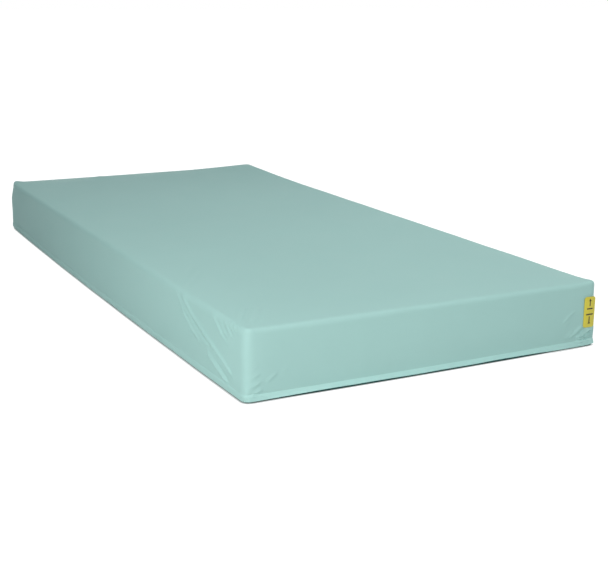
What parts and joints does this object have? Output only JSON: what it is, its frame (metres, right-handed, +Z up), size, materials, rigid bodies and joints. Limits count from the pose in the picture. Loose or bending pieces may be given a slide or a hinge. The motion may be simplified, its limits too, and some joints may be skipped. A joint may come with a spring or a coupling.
{
  "type": "pressure relief mattress",
  "caption": "Hospital pressure relief mattress: stretch cover with a flapped perimeter zip over a castellated foam core in a bolstered slab.",
  "frame": {"origin": "centre of the underside, on the bed's platform", "axes": "+Y along the mattress to the head end, +X across it to the side where the zip's slider runs, +Z up"},
  "size_m": [0.8985, 1.9113, 0.1555],
  "materials": {
    "cover_cloth": "satin",
    "flap_cloth": "satin",
    "base_cloth": "matte",
    "tape_weave": "matte",
    "coil_nylon": "satin",
    "zinc": "satin",
    "label_vinyl": "satin",
    "base_foam": "matte",
    "edge_foam": "matte",
    "zone_foam": "matte"
  },
  "bodies": {
    "base": {"base_cover": "base_cloth", "zip_tape_lower": "tape_weave", "zip_coil_lower": "coil_nylon", "zip_stop_lower": "zinc", "zip_far_stop_lower": "zinc"},
    "foam_core": {"foam_base_slab": "base_foam", "foam_bolster_left": "edge_foam", "foam_bolster_right": "edge_foam", "foam_bolster_foot": "edge_foam", "foam_bolster_head": "edge_foam"},
    "foam_insert": {"foam_head_zone": "zone_foam", "foam_torso_zone": "zone_foam", "foam_heel_zone": "zone_foam"},
    "cover": {"top_cover": "cover_cloth", "zip_flap": "flap_cloth", "turn_label": "label_vinyl", "zip_tape_upper": "tape_weave", "zip_coil_upper": "coil_nylon", "zip_pin_upper": "zinc", "zip_far_stop_upper": "zinc"},
    "side_flap": {"access_flap": "flap_cloth"},
    "slider": {"zip_slider": "zinc"},
    "pull_tab": {"zip_pull_tab": "zinc"}
  },
  "joints": [
    {"name": "foam_core_lift", "type": "slide", "parent": "base", "child": "foam_core", "axis": [0, 0, 1], "range_m": [0, 0.11]},
    {"name": "foam_insert_lift", "type": "slide", "parent": "base", "child": "foam_insert", "axis": [0, 0, 1], "range_m": [0, 0.22]},
    {"name": "top_cover_lift", "type": "slide", "parent": "base", "child": "cover", "axis": [0, 0, 1], "range_m": [0, 0.44]},
    {"name": "zip_slider_run", "type": "slide", "parent": "base", "child": "slider", "axis": [0, -1, 0], "range_m": [0, 1.77]},
    {"name": "side_flap_fold", "type": "hinge", "parent": "cover", "child": "side_flap", "pos_m": [0.4452, 0, 0.0185], "axis": [0, -1, 0], "range_deg": [0, 150]},
    {"name": "pull_tab_swing", "type": "hinge", "parent": "slider", "child": "pull_tab", "pos_m": [0.44535, 0.8905, 0.009], "axis": [0, 0, 1], "range_deg": [0, 90]}
  ],
  "couplings": [
    {"joint": "foam_insert_lift", "follows": "foam_core_lift", "ratio": 2},
    {"joint": "top_cover_lift", "follows": "foam_core_lift", "ratio": 4},
    {"joint": "pull_tab_swing", "follows": "side_flap_fold", "ratio": 0.6}
  ]
}
